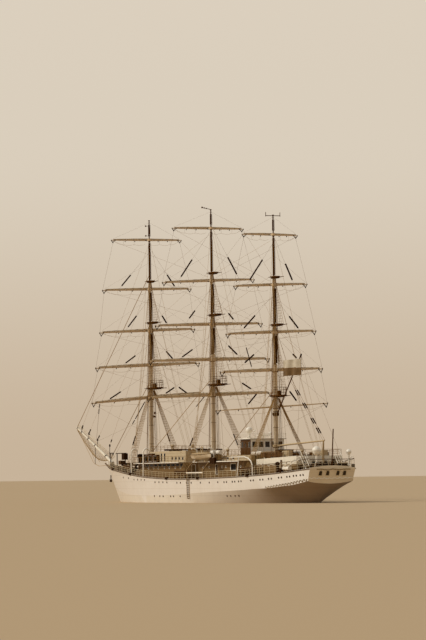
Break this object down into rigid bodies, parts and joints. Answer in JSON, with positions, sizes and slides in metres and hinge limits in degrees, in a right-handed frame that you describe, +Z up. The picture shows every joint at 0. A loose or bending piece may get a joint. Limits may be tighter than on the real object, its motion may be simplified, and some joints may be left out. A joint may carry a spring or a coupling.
{
  "type": "scale model, 1:10, of a three-masted full-rigged training ship",
  "caption": "Square-rigged sailing ship with a cream steel hull, furled sails on yards that brace round, deckhouses, boats, spanker boom and gaff, rudder and screw.",
  "frame": {"origin": "on the centreline in the waterplane, at mid-length of the waterline", "axes": "+X towards the bow, +Y to port, +Z up"},
  "size_m": [10.9245, 2.349, 5.675],
  "materials": {
    "hull_paint": "satin cream paint on steel plating",
    "rudder_paint": "matt dark brown antifouling paint",
    "bronze": "cast and ground bronze",
    "house_paint": "satin off-white paint on steel",
    "door_paint": "satin brown paint",
    "bowsprit_paint": "satin off-white paint",
    "boat_shell": "moulded shell under a laced cover",
    "radome_shell": "smooth moulded white",
    "iron": "dark painted castings",
    "wire": "greased steel wire rope",
    "flag_cloth": "plain woven bunting in two bands",
    "boom_paint": "satin buff paint",
    "mast_paint": "satin brown and buff paint on steel tube",
    "yard_paint": "satin buff paint on steel tube",
    "canvas": "furled sailcloth, matt"
  },
  "bodies": {
    "ship": {"hull": "hull_paint", "midship_house": "house_paint", "bridge_house": "house_paint", "poop_house": "house_paint", "wheelhouse_walls": "house_paint", "wheelhouse_roof": "house_paint", "bowsprit": "bowsprit_paint", "lifeboat_port": "boat_shell", "lifeboat_starboard": "boat_shell", "rescue_boat": "boat_shell", "radome_bridge": "radome_shell", "radome_quarter_port": "radome_shell", "radome_quarter_starboard": "radome_shell", "anchor_port": "iron", "anchor_starboard": "iron", "windlass": "iron", "fore_stay": "wire", "fore_topgallant_stay": "wire", "main_stay": "wire", "mizzen_stay": "wire", "fore_mast": "mast_paint", "main_mast": "mast_paint", "mizzen_mast": "mast_paint"},
    "fore_course": {"fore_course_yard": "yard_paint", "fore_course_sail": "canvas"},
    "fore_lower_topsail": {"fore_lower_topsail_yard": "yard_paint", "fore_lower_topsail_sail": "canvas"},
    "fore_upper_topsail": {"fore_upper_topsail_yard": "yard_paint", "fore_upper_topsail_sail": "canvas"},
    "fore_topgallant": {"fore_topgallant_yard": "yard_paint", "fore_topgallant_sail": "canvas"},
    "fore_royal": {"fore_royal_yard": "yard_paint", "fore_royal_sail": "canvas"},
    "main_course": {"main_course_yard": "yard_paint", "main_course_sail": "canvas"},
    "main_lower_topsail": {"main_lower_topsail_yard": "yard_paint", "main_lower_topsail_sail": "canvas"},
    "main_upper_topsail": {"main_upper_topsail_yard": "yard_paint", "main_upper_topsail_sail": "canvas"},
    "main_topgallant": {"main_topgallant_yard": "yard_paint", "main_topgallant_sail": "canvas"},
    "main_royal": {"main_royal_yard": "yard_paint", "main_royal_sail": "canvas"},
    "mizzen_course": {"mizzen_course_yard": "yard_paint"},
    "mizzen_lower_topsail": {"mizzen_lower_topsail_yard": "yard_paint", "mizzen_lower_topsail_sail": "canvas"},
    "mizzen_upper_topsail": {"mizzen_upper_topsail_yard": "yard_paint", "mizzen_upper_topsail_sail": "canvas"},
    "mizzen_topgallant": {"mizzen_topgallant_yard": "yard_paint", "mizzen_topgallant_sail": "canvas"},
    "mizzen_royal": {"mizzen_royal_yard": "yard_paint", "mizzen_royal_sail": "canvas"},
    "spanker_boom": {"spanker_boom": "boom_paint"},
    "spanker_gaff": {"spanker_gaff": "boom_paint", "ensign": "flag_cloth"},
    "rudder": {"rudder": "rudder_paint"},
    "propeller": {"propeller": "bronze"},
    "door_port": {"wheelhouse_door_port": "door_paint"},
    "door_starboard": {"wheelhouse_door_starboard": "door_paint"}
  },
  "joints": [
    {"name": "fore_course_brace", "type": "hinge", "parent": "ship", "child": "fore_course", "pos_m": [2.67, 0, 1.845], "axis": [0, 0, 1], "range_deg": [-30, 30]},
    {"name": "fore_lower_topsail_brace", "type": "hinge", "parent": "ship", "child": "fore_lower_topsail", "pos_m": [2.67, 0, 2.425], "axis": [0, 0, 1], "range_deg": [-30, 30]},
    {"name": "fore_upper_topsail_brace", "type": "hinge", "parent": "ship", "child": "fore_upper_topsail", "pos_m": [2.67, 0, 3.045], "axis": [0, 0, 1], "range_deg": [-30, 30]},
    {"name": "fore_topgallant_brace", "type": "hinge", "parent": "ship", "child": "fore_topgallant", "pos_m": [2.67, 0, 3.785], "axis": [0, 0, 1], "range_deg": [-30, 30]},
    {"name": "fore_royal_brace", "type": "hinge", "parent": "ship", "child": "fore_royal", "pos_m": [2.67, 0, 4.67], "axis": [0, 0, 1], "range_deg": [-30, 30]},
    {"name": "main_course_brace", "type": "hinge", "parent": "ship", "child": "main_course", "pos_m": [-0.045, 0, 1.81], "axis": [0, 0, 1], "range_deg": [-30, 30]},
    {"name": "main_lower_topsail_brace", "type": "hinge", "parent": "ship", "child": "main_lower_topsail", "pos_m": [-0.045, 0, 2.41], "axis": [0, 0, 1], "range_deg": [-30, 30]},
    {"name": "main_upper_topsail_brace", "type": "hinge", "parent": "ship", "child": "main_upper_topsail", "pos_m": [-0.045, 0, 3.01], "axis": [0, 0, 1], "range_deg": [-30, 30]},
    {"name": "main_topgallant_brace", "type": "hinge", "parent": "ship", "child": "main_topgallant", "pos_m": [-0.045, 0, 3.755], "axis": [0, 0, 1], "range_deg": [-30, 30]},
    {"name": "main_royal_brace", "type": "hinge", "parent": "ship", "child": "main_royal", "pos_m": [-0.045, 0, 4.65], "axis": [0, 0, 1], "range_deg": [-30, 30]},
    {"name": "mizzen_course_brace", "type": "hinge", "parent": "ship", "child": "mizzen_course", "pos_m": [-2.52, 0, 1.546], "axis": [0, 0, 1], "range_deg": [-30, 30]},
    {"name": "mizzen_lower_topsail_brace", "type": "hinge", "parent": "ship", "child": "mizzen_lower_topsail", "pos_m": [-2.52, 0, 2.135], "axis": [0, 0, 1], "range_deg": [-30, 30]},
    {"name": "mizzen_upper_topsail_brace", "type": "hinge", "parent": "ship", "child": "mizzen_upper_topsail", "pos_m": [-2.52, 0, 2.75], "axis": [0, 0, 1], "range_deg": [-30, 30]},
    {"name": "mizzen_topgallant_brace", "type": "hinge", "parent": "ship", "child": "mizzen_topgallant", "pos_m": [-2.52, 0, 3.52], "axis": [0, 0, 1], "range_deg": [-30, 30]},
    {"name": "mizzen_royal_brace", "type": "hinge", "parent": "ship", "child": "mizzen_royal", "pos_m": [-2.52, 0, 4.34], "axis": [0, 0, 1], "range_deg": [-30, 30]},
    {"name": "boom_swing", "type": "hinge", "parent": "ship", "child": "spanker_boom", "pos_m": [-2.52, 0, 0.915], "axis": [0, 0, 1], "range_deg": [-40, 40]},
    {"name": "gaff_swing", "type": "hinge", "parent": "ship", "child": "spanker_gaff", "pos_m": [-2.52, 0, 1.43], "axis": [0, 0, 1], "range_deg": [-35, 35]},
    {"name": "rudder_turn", "type": "hinge", "parent": "ship", "child": "rudder", "pos_m": [-3.8, 0, -0.4], "axis": [0, 0, 1], "range_deg": [-35, 35]},
    {"name": "propeller_turn", "type": "hinge", "parent": "ship", "child": "propeller", "pos_m": [-3.54, 0, -0.43], "axis": [1, 0, 0], "continuous": true},
    {"name": "door_port_swing", "type": "hinge", "parent": "ship", "child": "door_port", "pos_m": [-1.9403, 0.3, 0.87], "axis": [0, 0, -1], "range_deg": [0, 90]},
    {"name": "door_starboard_swing", "type": "hinge", "parent": "ship", "child": "door_starboard", "pos_m": [-1.9403, -0.3, 0.87], "axis": [0, 0, 1], "range_deg": [0, 90]}
  ]
}
